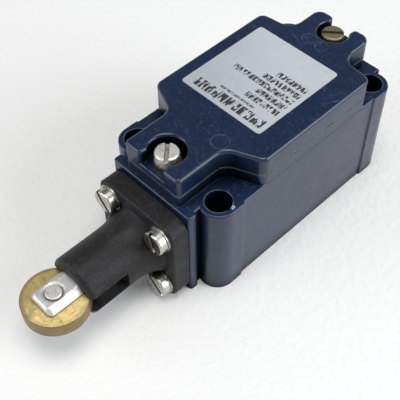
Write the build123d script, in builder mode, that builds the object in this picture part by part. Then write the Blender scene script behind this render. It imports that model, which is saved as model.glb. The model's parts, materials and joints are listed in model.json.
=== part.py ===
from build123d import *
import os

# Roller-plunger limit switch in a die-cast housing.
# Millimetres. The back of the housing lies on z = 0 and the cover faces +Z.
# The plunger points along -Y. The origin is the middle of the mounting holes.

# ---------------------------------------------------------------- driving dimensions

# How far a cut runs past the face that it opens, and how near two equal places may differ
PAST = 1.0
NEAR = 0.1

# Gaps: round screw shanks, between assembled pieces, in turned fits, past screw tips
SCREW_HOLE_GAP = 0.25
PART_GAP = 0.1
FIT_GAP = 0.05
SCREW_TIP_GAP = 0.3
THREAD_SPARE = 0.5

# Mounting pattern
HOLE_X = 15.0
HOLE_Y = 30.0
HOLE_R = 2.7
HOLE_MOUTH_R = 3.6
HOLE_MOUTH_DEPTH = 10.0

# Housing
BOSS_R = 5.2
BOSS_TOP = 31.1
BOSS_TOP_ROUND = 0.5
PAD_END_Y = 25.9
WALL_X = 19.7
WALL_Y = 25.5
RIB_X = 14.2
RIB_Y = 36.4
NECK_X = 13.2
NECK_LENGTH = 13.0
FRONT_Y = -39.3
REAR_Y = 36.7
REAR_RIB_X = 13.6
REAR_RIB_Y = 35.4
FRONT_RIB_ROUND = 0.9
REAR_RIB_ROUND = 0.6
RIM_TOP = 34.5
FLOOR_Z = 4.5
CAVITY_FRONT = -24.0
CAVITY_REAR = 19.9

# Cover and its outline, shared with the housing rim
COVER_TOP = 40.6
GASKET_T = 0.4
COVER_X = 19.6
SHOULDER_FRONT = -18.7
SHOULDER_REAR = 22.5
TONGUE_FRONT_X = 9.7
TONGUE_FRONT_Y = -38.5
TONGUE_REAR_X = 9.4
TONGUE_REAR_Y = 35.6
THROAT_FRONT_Y = -23.0
THROAT_REAR_Y = 23.7
THROAT_ROUND = 4.2
SHOULDER_ROUND = 2.4
FRONT_CORNER_ROUND = 1.2
REAR_CORNER_ROUND = 2.8
COVER_EDGE_ROUND = 0.9
COVER_WALL = 2.6
COVER_HOLLOW = 3.1
GASKET_INSET = 0.15
EJECTOR_MARKS = ((-2.7, 23.4, 2.0), (1.9, 23.1, 1.8), (7.3, -21.8, 2.4))
MARK_DEPTH = 0.12

# Cover screws
COVER_SCREW_FRONT = -33.0
COVER_SCREW_REAR = 30.5
SEAT_Z = 36.5
FRONT_RECESS_R = 5.0
FRONT_MOUTH_X = 3.9
FRONT_MOUTH_ROUND = 1.0
REAR_RECESS_R = 4.5
REAR_MOUTH_X = 3.6
REAR_MOUTH_ROUND = 1.4
SEAL_WASHER_T = 0.5
SEAL_WASHER_R = 3.6
COVER_SCREW_HEAD_R = 3.2
COVER_SCREW_HEAD_H = 3.2
COVER_SCREW_TIP = 27.1
COVER_SCREW_SLOT = (1.2, 1.0)
COVER_SCREW_ANGLES = (-47, 40)

# Rating label
LABEL_X = (-15.5, 12.5)
LABEL_Y = (-13.4, 17.6)
LABEL_T = 0.15
LABEL_ROUND = 1.0

# Cable entry
ENTRY_Z = 14.5
ENTRY_R = 9.2

# Head
AXIS_Z = 15.0
FLANGE_HALF = 14.0
FLANGE_T = 5.0
FLANGE_ROUND = 4.0
FLANGE_EDGE_ROUND = 0.5
HEAD_GASKET_T = 0.4
HEAD_GASKET_INSET = 0.3
FLANGE_BACK = FRONT_Y - HEAD_GASKET_T
FLANGE_FRONT = FLANGE_BACK - FLANGE_T
SNOUT_R = 8.4
SNOUT_TIP = -66.5
FLARE_R = 10.6
FLARE_Y = -51.5
TIP_ROUND = 1.5
ROLLER_SLOT_HALF = 2.75
ROLLER_SLOT_END = -55.0
HEAD_SCREW_OFFSET = 9.4
HEAD_WASHER_R = 3.8
HEAD_WASHER_T = 0.5
HEAD_SCREW_HEAD_R = 3.4
HEAD_SCREW_HEAD_H = 2.4
HEAD_SCREW_SLOT = (1.1, 1.1)
HEAD_SCREW_ANGLES = (20, 129, 135, 104)
SCALLOP_R = 4.6
SCALLOP_PAST_FLARE = 2.0
HEAD_BORE_R = 7.0

# Plunger, roller and pin
ROD_R = 5.1
ROD_FLAT = 4.3
ROD_GAP = 0.3
ROD_TIP = -76.6
FLAT_END = -60.0
ROD_TIP_ROUND = 1.2
FLAT_EDGE_ROUND = 0.6
CLEVIS_SLOT_HALF = 2.5
CLEVIS_SLOT_END = -62.4
COLLAR_R = 6.5
COLLAR_Y = (-46.6, -44.6)
TAIL_R = 3.0
TAIL_END = -22.6
TAIL_CHAMFER = 0.5
ROLLER_Y = -72.0
ROLLER_R = 8.8
ROLLER_HALF = 2.2
ROLLER_CHAMFER = 0.25
PIN_R = 2.2
PIN_HALF = 4.5
PIN_END_ROUND = 0.35
PIN_DISH_R = 3.1
PIN_DISH_DEPTH = 0.5
TRAVEL = 5.0

# Plunger guide
BUSH_R = 6.4
BUSH_BORE_R = 5.16
BUSH_Y = (-55.0, -49.6)
SEAL_Y = (-49.6, -47.4)
STOP_Y = (-47.4, -46.7)
SEAT_Y = (-27.8, -27.0)
TAIL_HOLE_R = 3.4

# Return springs
SPRING_R = 5.4
SPRING_WIRE_R = 0.6
SPRING_TURNS = 5

# Contact block
BLOCK_X = 15.6
BLOCK_Y = (-14.8, 13.3)
BLOCK_TOP = 25.0
BLOCK_CHAMFER = 0.5
LUG_TOP = 7.5
BLOCK_SCREWS = [(0.0, -18.4), (8.6, 15.8)]
BLOCK_SCREW_HEAD = (2.5, 1.6)
BLOCK_SCREW_SLOT = (0.8, 0.7)
BLOCK_SCREW_ANGLES = (30, 100)
LUG_HALF_X = 3.4
LUG_OVERHANG = 2.8
RIVETS = [(-13.8, -2.0), (13.8, -2.0)]
RIVET_R = 1.0
RIVET_FOOT = 5.0
RIVET_HEAD_R = 1.6
RIVET_HEAD_H = 0.6
CARRIER_HALF = 3.0
CARRIER_GAP = 0.3
CARRIER_CHAMFER = 0.6
CARRIER_Y = (-22.3, 3.0)
WINDOW_HALF_H = 2.2
NC_WINDOW = (-7.0, -3.5)
NO_WINDOW = (-2.5, 1.0)
BRIDGE_X = 10.6
BRIDGE_T = 0.8
BRIDGE_HALF_H = 2.0
CONTACT_X = 9.2
TIP_R = 1.5
TIP_T = 0.5
CHAMBER_X = 12.0
CHAMBER_Y = (-9.2, 8.3)
CHAMBER_HALF_H = 3.2
CLOSED_GAP = 0.05
OPEN_GAP = 0.15
PLATE_HALF_X = 2.2
PLATE_T = 1.0
POCKET_HALF_X = 3.4
POCKET_FLOOR = 20.0
NC_POCKET_FRONT = -14.0
NO_POCKET_REAR = 12.5
TAB_END_GAP = 0.3
NC_TERMINAL_Y = -11.2
NO_TERMINAL_Y = 10.2
TERMINAL_TIP = 16.4
CLAMP_T = 0.9
CLAMP_HALF_X = 2.6
CLAMP_HALF_Y = 2.2
CLAMP_ROUND = 0.5
CLAMP_HEAD = (2.2, 1.7)
CLAMP_SLOT = (0.9, 0.8)
TERMINAL_ANGLES = (15, 70, 130, 95)
EARTH_ANGLES = (40,)
BLOCK_SPRING_R = 1.8
BLOCK_SPRING_WIRE = 0.2
BLOCK_SPRING_END = 9.8
BLOCK_SPRING_GAP = 0.5
BLOCK_SPRING_TURNS = 4
BRIDGE_SPRING_R = 1.2
BRIDGE_SPRING_TURNS = 3

# Small fasteners
HEAD_ROUND_SHARE = 0.2
TIP_CHAMFER_SHARE = 0.25
M4_R = 2.0
M35_R = 1.75
M3_R = 1.5
EARTH_XY = (-12.2, 16.7)
EARTH_TOP = 12.0
EARTH_PAD_R = 3.0
EARTH_THREAD_END = 6.8
BLOCK_THREAD_END = 1.4
HEAD_THREAD_END = -32.5

os.makedirs("parts", exist_ok=True)


# ---------------------------------------------------------------- shared outlines


def rim_outline(sketch_plane, inset=0.0):
    """The lid outline: a wide middle with a narrower tongue at each end."""
    with BuildSketch(sketch_plane) as outline:
        with BuildLine():
            Polyline(
                (0, TONGUE_FRONT_Y),
                (TONGUE_FRONT_X, TONGUE_FRONT_Y),
                (TONGUE_FRONT_X, THROAT_FRONT_Y),
                (COVER_X, SHOULDER_FRONT),
                (COVER_X, SHOULDER_REAR),
                (TONGUE_REAR_X, THROAT_REAR_Y),
                (TONGUE_REAR_X, TONGUE_REAR_Y),
                (0, TONGUE_REAR_Y),
            )
            mirror(about=Plane.YZ)
        make_face()
        throat_limit = (THROAT_REAR_Y + TONGUE_REAR_Y) / 2
        for chosen, radius in (
            (lambda x, y: x < COVER_X - NEAR and abs(y) < throat_limit, THROAT_ROUND),
            (lambda x, y: x > COVER_X - NEAR, SHOULDER_ROUND),
            (lambda x, y: x > NEAR and y < TONGUE_FRONT_Y + NEAR, FRONT_CORNER_ROUND),
            (lambda x, y: x > NEAR and y > TONGUE_REAR_Y - NEAR, REAR_CORNER_ROUND),
        ):
            corners = [v for v in outline.vertices() if chosen(abs(v.X), v.Y)]
            fillet(corners, radius=radius)
        if inset:
            offset(amount=-inset, mode=Mode.REPLACE)
    return outline.sketch


def rounded_rect(sketch_plane, x_range, y_range, radius):
    """A rounded rectangle between two limits on each axis of its plane."""
    middle = ((x_range[0] + x_range[1]) / 2, (y_range[0] + y_range[1]) / 2)
    with BuildSketch(sketch_plane) as shape:
        with Locations(middle):
            RectangleRounded(x_range[1] - x_range[0], y_range[1] - y_range[0], radius)
    return shape.sketch


def slotted_screws(top_plane, places, head, shank, slot, slot_angles):
    """Cheese-head screws whose heads stand on a plane, shanks going down from it.

    head and shank are each a radius and a length, slot a width and a depth.
    """
    slot_w, slot_depth = slot
    head_r, head_h = head
    shank_r, shank_length = shank
    with BuildPart() as screws:
        with BuildSketch(top_plane):
            with Locations(*places):
                Circle(head_r)
        extrude(amount=head_h)
        top_edges = screws.edges().filter_by(GeomType.CIRCLE).group_by(
            lambda e: top_plane.to_local_coords(e.center()).Z
        )[-1]
        fillet(top_edges, radius=HEAD_ROUND_SHARE * head_h)
        with BuildSketch(top_plane.offset(head_h)):
            for place, angle in zip(places, slot_angles):
                with Locations(place):
                    Rectangle(2 * head_r + PAST, slot_w, rotation=angle)
        extrude(amount=-slot_depth, mode=Mode.SUBTRACT)
        with BuildSketch(top_plane):
            with Locations(*places):
                Circle(shank_r)
        extrude(amount=-shank_length)
        tip_edges = screws.edges().filter_by(GeomType.CIRCLE).group_by(
            lambda e: top_plane.to_local_coords(e.center()).Z
        )[0]
        chamfer(tip_edges, length=TIP_CHAMFER_SHARE * shank_r)
    return screws


def rings(plane, places, outer_r, inner_r, height):
    """Flat washers standing on a plane."""
    with BuildPart() as washers:
        with BuildSketch(plane):
            with Locations(*places):
                Circle(outer_r)
                Circle(inner_r, mode=Mode.SUBTRACT)
        extrude(amount=height)
    return washers


def coil_spring(start, axis_dir, coil_r, wire_r, turns, length):
    """A compression spring: a round wire on a helix, from start along axis_dir."""
    with BuildPart() as spring:
        with BuildLine() as path:
            Helix(length / turns, length, coil_r, center=start, direction=axis_dir)
        with BuildSketch(Plane(origin=path.line @ 0, z_dir=path.line % 0)):
            Circle(wire_r)
        sweep()
    return spring


def finish(part_builder, name):
    """Label a finished piece and write it."""
    part_builder.part.label = name
    export_step(part_builder.part, f"parts/{name}.step")


def toward_front(y):
    """A plane at y whose normal points along -Y; its local axes are X and Z."""
    return Plane(origin=(0, y, 0), x_dir=(1, 0, 0), z_dir=(0, -1, 0))


def toward_rear(y):
    """A plane at y whose normal points along +Y; its local axes are -X and Z."""
    return Plane(origin=(0, y, 0), x_dir=(-1, 0, 0), z_dir=(0, 1, 0))


# ---------------------------------------------------------------- housing

head_screw_xz = [
    (sx * HEAD_SCREW_OFFSET, AXIS_Z + sz * HEAD_SCREW_OFFSET) for sx in (-1, 1) for sz in (-1, 1)
]
cover_screw_xy = [(0, COVER_SCREW_FRONT), (0, COVER_SCREW_REAR)]


def cavity_outline(z):
    """The hollow inside the rim, kept clear of the two tongues' solid ends."""
    with BuildSketch(Plane.XY.offset(z)) as hollow:
        add(rim_outline(Plane.XY, COVER_WALL))
        with Locations((0, (CAVITY_FRONT + CAVITY_REAR) / 2)):
            Rectangle(2 * COVER_X, CAVITY_REAR - CAVITY_FRONT, mode=Mode.INTERSECT)
    return hollow.sketch


def boss_pad(side_x, side_y):
    """The flat pad that carries a corner boss over to the side wall, with a slanted step down to it."""
    outer_x = side_x * (HOLE_X + BOSS_R)
    step_y = side_y * (PAD_END_Y - HOLE_X - BOSS_R + WALL_X)
    with BuildSketch() as pad:
        with BuildLine():
            Polyline(
                (side_x * HOLE_X, side_y * HOLE_Y),
                (outer_x, side_y * HOLE_Y),
                (outer_x, side_y * PAD_END_Y),
                (side_x * WALL_X, step_y),
                (side_x * HOLE_X, step_y),
                close=True,
            )
        make_face()
    return pad.sketch


with BuildPart() as housing:
    # Lower body: straight walls, four corner bosses, a front and a rear rib.
    with BuildSketch():
        Rectangle(2 * WALL_X, 2 * WALL_Y)
        with GridLocations(2 * HOLE_X, 2 * HOLE_Y, 2, 2):
            Circle(BOSS_R)
        for side_x in (-1, 1):
            for side_y in (-1, 1):
                add(boss_pad(side_x, side_y))
        with Locations((0, (FRONT_Y - RIB_Y) / 2)):
            RectangleRounded(2 * RIB_X, -FRONT_Y - RIB_Y, FRONT_RIB_ROUND)
        with Locations((0, (REAR_Y + REAR_RIB_Y) / 2)):
            RectangleRounded(2 * REAR_RIB_X, REAR_Y - REAR_RIB_Y, REAR_RIB_ROUND)
        with GridLocations(0, 2 * HOLE_Y, 1, 2):
            Rectangle(2 * NECK_X, NECK_LENGTH)
    extrude(amount=BOSS_TOP)
    fillet(housing.faces().sort_by(Axis.Z)[-1].outer_wire().edges(), radius=BOSS_TOP_ROUND)
    # Rim that carries the gasket and the cover.
    extrude(rim_outline(Plane.XY.offset(FLOOR_Z)), amount=RIM_TOP - FLOOR_Z)
    # Main cavity, with the earth pad left standing in it.
    extrude(cavity_outline(FLOOR_Z), amount=RIM_TOP, mode=Mode.SUBTRACT)
    with BuildSketch(Plane.XY.offset(FLOOR_Z)):
        with Locations(EARTH_XY):
            Circle(EARTH_PAD_R)
    extrude(amount=EARTH_TOP - FLOOR_Z)
    # Mounting holes with a wider mouth in each boss.
    with Locations(Plane.XY.offset(BOSS_TOP)):
        with GridLocations(2 * HOLE_X, 2 * HOLE_Y, 2, 2):
            CounterBoreHole(HOLE_R, HOLE_MOUTH_R, HOLE_MOUTH_DEPTH)
    # Cable entry through the rear wall.
    with BuildSketch(toward_rear(CAVITY_REAR - PAST)):
        with Locations((0, ENTRY_Z)):
            Circle(ENTRY_R)
    extrude(amount=REAR_Y - CAVITY_REAR + 2 * PAST, mode=Mode.SUBTRACT)
    # Plunger spring bore in the front wall and the tail's way into the cavity.
    with BuildSketch(toward_front(SEAT_Y[1])):
        with Locations((0, AXIS_Z)):
            Circle(HEAD_BORE_R)
    extrude(amount=SEAT_Y[1] - FRONT_Y + PAST, mode=Mode.SUBTRACT)
    with BuildSketch(toward_front(CAVITY_FRONT + PAST)):
        with Locations((0, AXIS_Z)):
            Circle(TAIL_HOLE_R)
    extrude(amount=CAVITY_FRONT - SEAT_Y[1] + 2 * PAST, mode=Mode.SUBTRACT)
    # Tapped holes: head screws, cover screws, contact block screws, earth screw.
    with BuildSketch(toward_front(HEAD_THREAD_END)):
        with Locations(*head_screw_xz):
            Circle(M4_R)
    extrude(amount=HEAD_THREAD_END - FRONT_Y + PAST, mode=Mode.SUBTRACT)
    with BuildSketch(Plane.XY.offset(COVER_SCREW_TIP - THREAD_SPARE)):
        with Locations(*cover_screw_xy):
            Circle(M4_R)
    extrude(amount=RIM_TOP, mode=Mode.SUBTRACT)
    with BuildSketch(Plane.XY.offset(BLOCK_THREAD_END)):
        with Locations(*BLOCK_SCREWS):
            Circle(M3_R)
    extrude(amount=FLOOR_Z, mode=Mode.SUBTRACT)
    with BuildSketch(Plane.XY.offset(EARTH_THREAD_END)):
        with Locations(EARTH_XY):
            Circle(M35_R)
    extrude(amount=EARTH_TOP, mode=Mode.SUBTRACT)
finish(housing, "housing")

# ---------------------------------------------------------------- cover and its seal

gasket_top = RIM_TOP + GASKET_T


def upper_cover():
    """The cover above its screw seats: the lid outline less two recesses that open at the ends."""
    recesses = (
        (COVER_SCREW_FRONT, TONGUE_FRONT_Y, FRONT_RECESS_R, FRONT_MOUTH_X, FRONT_MOUTH_ROUND),
        (COVER_SCREW_REAR, TONGUE_REAR_Y, REAR_RECESS_R, REAR_MOUTH_X, REAR_MOUTH_ROUND),
    )
    with BuildSketch(Plane.XY.offset(SEAT_Z)) as outline:
        add(rim_outline(Plane.XY))
        for screw_y, end_y, recess_r, mouth_x, mouth_round in recesses:
            with Locations((0, screw_y)):
                Circle(recess_r, mode=Mode.SUBTRACT)
            with Locations((0, end_y)):
                Rectangle(2 * mouth_x, 2 * abs(end_y - screw_y), mode=Mode.SUBTRACT)
            jaws = [
                v
                for v in outline.vertices()
                if abs(v.X) < mouth_x + NEAR and abs(v.Y - end_y) < NEAR
            ]
            fillet(jaws, radius=mouth_round)
    return outline.sketch


with BuildPart() as cover:
    extrude(rim_outline(Plane.XY.offset(gasket_top)), amount=SEAT_Z - gasket_top)
    extrude(upper_cover(), amount=COVER_TOP - SEAT_Z)
    fillet(cover.faces().sort_by(Axis.Z)[-1].outer_wire().edges(), radius=COVER_EDGE_ROUND)
    extrude(cavity_outline(gasket_top), amount=COVER_HOLLOW, mode=Mode.SUBTRACT)
    # Shallow marks that the ejector pins left in the casting.
    with BuildSketch(Plane.XY.offset(COVER_TOP - MARK_DEPTH)):
        for mark_x, mark_y, mark_r in EJECTOR_MARKS:
            with Locations((mark_x, mark_y)):
                Circle(mark_r)
    extrude(amount=PAST, mode=Mode.SUBTRACT)
    with BuildSketch(Plane.XY.offset(gasket_top)):
        with Locations(*cover_screw_xy):
            Circle(M4_R + SCREW_HOLE_GAP)
    extrude(amount=COVER_TOP, mode=Mode.SUBTRACT)
finish(cover, "cover")

with BuildPart() as cover_gasket:
    extrude(rim_outline(Plane.XY.offset(RIM_TOP), GASKET_INSET), amount=GASKET_T)
    extrude(cavity_outline(RIM_TOP), amount=GASKET_T, mode=Mode.SUBTRACT)
    with BuildSketch(Plane.XY.offset(RIM_TOP)):
        with Locations(*cover_screw_xy):
            Circle(M4_R + SCREW_HOLE_GAP)
    extrude(amount=GASKET_T, mode=Mode.SUBTRACT)
finish(cover_gasket, "cover_gasket")

seat_plane = Plane.XY.offset(SEAT_Z)
cover_seals = rings(seat_plane, cover_screw_xy, SEAL_WASHER_R, M4_R, SEAL_WASHER_T)
finish(cover_seals, "cover_screw_seals")

cover_head_plane = Plane.XY.offset(SEAT_Z + SEAL_WASHER_T)
cover_screws = slotted_screws(
    cover_head_plane,
    cover_screw_xy,
    (COVER_SCREW_HEAD_R, COVER_SCREW_HEAD_H),
    (M4_R, cover_head_plane.origin.Z - COVER_SCREW_TIP),
    COVER_SCREW_SLOT,
    COVER_SCREW_ANGLES,
)
finish(cover_screws, "cover_screws")

with BuildPart() as rating_label:
    extrude(rounded_rect(Plane.XY.offset(COVER_TOP), LABEL_X, LABEL_Y, LABEL_ROUND), amount=LABEL_T)
finish(rating_label, "rating_label")

# ---------------------------------------------------------------- head

head_axis = Axis((0, 0, AXIS_Z), (0, 1, 0))

with BuildPart() as head_gasket:
    with BuildSketch(toward_front(FRONT_Y)):
        with Locations((0, AXIS_Z)):
            gasket_side = 2 * (FLANGE_HALF - HEAD_GASKET_INSET)
            RectangleRounded(gasket_side, gasket_side, FLANGE_ROUND - HEAD_GASKET_INSET)
            Circle(HEAD_BORE_R, mode=Mode.SUBTRACT)
        with Locations(*head_screw_xz):
            Circle(M4_R + SCREW_HOLE_GAP, mode=Mode.SUBTRACT)
    extrude(amount=HEAD_GASKET_T)
finish(head_gasket, "head_gasket")

with BuildPart() as head_body:
    # Square flange.
    with BuildSketch(toward_front(FLANGE_BACK)):
        with Locations((0, AXIS_Z)):
            RectangleRounded(2 * FLANGE_HALF, 2 * FLANGE_HALF, FLANGE_ROUND)
    extrude(amount=FLANGE_T)
    fillet(head_body.faces().sort_by(Axis.Y)[0].outer_wire().edges(), radius=FLANGE_EDGE_ROUND)
    # Snout with a flared foot and a rounded tip.
    with BuildSketch(Plane.YZ):
        with BuildLine():
            foot = Line((FLANGE_FRONT, AXIS_Z), (FLANGE_FRONT, AXIS_Z + FLARE_R))
            flare = TangentArc(
                (FLARE_Y, AXIS_Z + SNOUT_R), foot @ 1, tangent=(1, 0), tangent_from_first=True
            )
            side = Line((FLARE_Y, AXIS_Z + SNOUT_R), (SNOUT_TIP + TIP_ROUND, AXIS_Z + SNOUT_R))
            nose = TangentArc(
                side @ 1, (SNOUT_TIP, AXIS_Z + SNOUT_R - TIP_ROUND), tangent=(-1, 0)
            )
            Polyline(nose @ 1, (SNOUT_TIP, AXIS_Z), foot @ 0)
        make_face()
    revolve(axis=head_axis)
    # Scallops that clear the screw heads.
    with BuildSketch(toward_front(FLANGE_FRONT)):
        with Locations(*head_screw_xz):
            Circle(SCALLOP_R)
    extrude(amount=FLANGE_FRONT - FLARE_Y + SCALLOP_PAST_FLARE, mode=Mode.SUBTRACT)
    # Stepped bore for plunger, bush, seal, stop washer and spring.
    for plane_y, end_y, radius in (
        (SNOUT_TIP - PAST, BUSH_Y[0], ROD_R + ROD_GAP),
        (BUSH_Y[0], SEAL_Y[1], BUSH_R),
        (STOP_Y[0], FLANGE_BACK, HEAD_BORE_R),
    ):
        with BuildSketch(toward_rear(plane_y)):
            with Locations((0, AXIS_Z)):
                Circle(radius)
        extrude(amount=end_y - plane_y, mode=Mode.SUBTRACT)
    # Slot across the snout for the roller.
    with BuildSketch(toward_front(ROLLER_SLOT_END)):
        with Locations((0, AXIS_Z)):
            Rectangle(3 * SNOUT_R, 2 * ROLLER_SLOT_HALF)
    extrude(amount=ROLLER_SLOT_END - SNOUT_TIP + PAST, mode=Mode.SUBTRACT)
    with BuildSketch(toward_front(FLANGE_BACK)):
        with Locations(*head_screw_xz):
            Circle(M4_R + SCREW_HOLE_GAP)
    extrude(amount=FLANGE_T, mode=Mode.SUBTRACT)
finish(head_body, "head_body")

head_washers = rings(
    toward_front(FLANGE_FRONT), head_screw_xz, HEAD_WASHER_R, M4_R + PART_GAP, HEAD_WASHER_T
)
finish(head_washers, "head_screw_washers")

head_screw_plane = toward_front(FLANGE_FRONT - HEAD_WASHER_T)
head_screws = slotted_screws(
    head_screw_plane,
    head_screw_xz,
    (HEAD_SCREW_HEAD_R, HEAD_SCREW_HEAD_H),
    (M4_R, HEAD_THREAD_END - THREAD_SPARE - head_screw_plane.origin.Y),
    HEAD_SCREW_SLOT,
    HEAD_SCREW_ANGLES,
)
finish(head_screws, "head_screws")

# ---------------------------------------------------------------- plunger guide

for name, y_range, outer_r, inner_r in (
    ("guide_bush", BUSH_Y, BUSH_R, BUSH_BORE_R),
    ("plunger_seal", SEAL_Y, BUSH_R, BUSH_BORE_R),
    ("stop_washer", STOP_Y, HEAD_BORE_R, BUSH_BORE_R + PART_GAP),
    ("spring_seat", SEAT_Y, HEAD_BORE_R - FIT_GAP, TAIL_HOLE_R),
):
    ring = rings(toward_rear(y_range[0]), [(0, AXIS_Z)], outer_r, inner_r, y_range[1] - y_range[0])
    finish(ring, name)

# ---------------------------------------------------------------- plunger, roller, pin

with BuildPart() as plunger:
    with BuildSketch(Plane.YZ):
        with BuildLine():
            Polyline(
                (ROD_TIP, AXIS_Z),
                (ROD_TIP, AXIS_Z + ROD_R),
                (COLLAR_Y[0], AXIS_Z + ROD_R),
                (COLLAR_Y[0], AXIS_Z + COLLAR_R),
                (COLLAR_Y[1], AXIS_Z + COLLAR_R),
                (COLLAR_Y[1], AXIS_Z + TAIL_R),
                (TAIL_END - TAIL_CHAMFER, AXIS_Z + TAIL_R),
                (TAIL_END, AXIS_Z + TAIL_R - TAIL_CHAMFER),
                (TAIL_END, AXIS_Z),
                close=True,
            )
        make_face()
    revolve(axis=head_axis)
    # Flats above and below the clevis, where the pin is riveted.
    with BuildSketch(toward_front(FLAT_END)):
        for side in (-1, 1):
            with Locations((0, AXIS_Z + side * (ROD_FLAT + ROD_R))):
                Rectangle(3 * ROD_R, 2 * ROD_R)
    extrude(amount=FLAT_END - ROD_TIP, mode=Mode.SUBTRACT)
    flat_edges = [
        e for e in plunger.edges().filter_by(Axis.Y) if abs(abs(e.center().Z - AXIS_Z) - ROD_FLAT) < NEAR
    ]
    fillet(flat_edges, radius=FLAT_EDGE_ROUND)
    fillet(plunger.faces().sort_by(Axis.Y)[0].outer_wire().edges(), radius=ROD_TIP_ROUND)
    # Slot for the roller.
    with BuildSketch(toward_front(CLEVIS_SLOT_END)):
        with Locations((0, AXIS_Z)):
            Rectangle(3 * ROD_R, 2 * CLEVIS_SLOT_HALF)
    extrude(amount=CLEVIS_SLOT_END - ROD_TIP + PAST, mode=Mode.SUBTRACT)
    # Pin hole, dished at both ends.
    with BuildSketch():
        with Locations((0, ROLLER_Y)):
            Circle(PIN_R)
    extrude(amount=2 * AXIS_Z, mode=Mode.SUBTRACT)
    for side in (-1, 1):
        dish_middle = AXIS_Z + side * (ROD_FLAT - PIN_DISH_DEPTH / 2)
        with Locations((0, ROLLER_Y, dish_middle)):
            Cone(
                PIN_R + (PIN_DISH_R - PIN_R) * (side < 0),
                PIN_R + (PIN_DISH_R - PIN_R) * (side > 0),
                PIN_DISH_DEPTH,
                mode=Mode.SUBTRACT,
            )
finish(plunger, "plunger")

with BuildPart() as roller:
    with BuildSketch(Plane.XY.offset(AXIS_Z - ROLLER_HALF)):
        with Locations((0, ROLLER_Y)):
            Circle(ROLLER_R)
    extrude(amount=2 * ROLLER_HALF)
    chamfer(roller.edges().filter_by(GeomType.CIRCLE), length=ROLLER_CHAMFER)
    with Locations((0, ROLLER_Y, AXIS_Z + ROLLER_HALF)):
        Hole(PIN_R + FIT_GAP)
finish(roller, "roller")

with BuildPart() as roller_pin:
    with BuildSketch(Plane.XY.offset(AXIS_Z)):
        with Locations((0, ROLLER_Y)):
            Circle(PIN_R)
    extrude(amount=PIN_HALF, both=True)
    fillet(roller_pin.edges().filter_by(GeomType.CIRCLE), radius=PIN_END_ROUND)
finish(roller_pin, "roller_pin")

spring_start = (0, COLLAR_Y[1] + SPRING_WIRE_R + FIT_GAP, AXIS_Z)
spring_length = SEAT_Y[0] - SPRING_WIRE_R - FIT_GAP - spring_start[1]
return_spring = coil_spring(
    spring_start, (0, 1, 0), SPRING_R, SPRING_WIRE_R, SPRING_TURNS, spring_length
)
finish(return_spring, "return_spring")

# ---------------------------------------------------------------- contact block

# The closed pair sits in front of its bridge, the open pair behind its own.
nc_plate_rear = NC_WINDOW[0] - 2 * TIP_T - CLOSED_GAP
no_plate_front = NO_WINDOW[1] + 2 * TIP_T + TRAVEL + OPEN_GAP
plates_y = [
    (nc_plate_rear - PLATE_T, nc_plate_rear),
    (no_plate_front, no_plate_front + PLATE_T),
]
tabs_y = [
    (NC_POCKET_FRONT + TAB_END_GAP, nc_plate_rear),
    (no_plate_front, NO_POCKET_REAR - TAB_END_GAP),
]
pockets_y = [(NC_POCKET_FRONT, nc_plate_rear), (no_plate_front, NO_POCKET_REAR)]
terminals_xy = [(sx * CONTACT_X, y) for y in (NC_TERMINAL_Y, NO_TERMINAL_Y) for sx in (-1, 1)]
bridges_y = [
    (NC_WINDOW[0], NC_WINDOW[0] + BRIDGE_T),
    (NO_WINDOW[1] - BRIDGE_T, NO_WINDOW[1]),
]


def block(x_half, y_range, z_range, x_middle=0.0, mode=Mode.ADD):
    """An upright block given by its half width and its limits along Y and Z."""
    with Locations((x_middle, sum(y_range) / 2, sum(z_range) / 2)):
        Box(2 * x_half, y_range[1] - y_range[0], z_range[1] - z_range[0], mode=mode)


def working_space():
    """Cut the bridges' chamber, the carrier's channel and the spring's pocket."""
    chamber_z = (AXIS_Z - CHAMBER_HALF_H, AXIS_Z + CHAMBER_HALF_H)
    channel_half = CARRIER_HALF + CARRIER_GAP
    channel_z = (AXIS_Z - channel_half, AXIS_Z + channel_half)
    block(CHAMBER_X, CHAMBER_Y, chamber_z, mode=Mode.SUBTRACT)
    block(channel_half, (BLOCK_Y[0] - PAST, 0), channel_z, mode=Mode.SUBTRACT)
    with Locations(toward_rear(0)):
        with Locations((0, AXIS_Z, BLOCK_SPRING_END / 2)):
            Cylinder(BLOCK_SPRING_R + BLOCK_SPRING_GAP, BLOCK_SPRING_END, mode=Mode.SUBTRACT)


with BuildPart() as contact_block_base:
    block(BLOCK_X, BLOCK_Y, (FLOOR_Z, AXIS_Z))
    for screw_x, screw_y in BLOCK_SCREWS:
        lug_y = (min(screw_y - LUG_OVERHANG, 0), max(screw_y + LUG_OVERHANG, 0))
        block(LUG_HALF_X, lug_y, (FLOOR_Z, LUG_TOP), screw_x)
    working_space()
    with Locations(*[(x, y, LUG_TOP) for x, y in BLOCK_SCREWS]):
        Hole(M3_R + PART_GAP)
    with BuildSketch(Plane.XY.offset(RIVET_FOOT)):
        with Locations(*RIVETS):
            Circle(RIVET_R)
    extrude(amount=AXIS_Z, mode=Mode.SUBTRACT)
finish(contact_block_base, "contact_block_base")

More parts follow.
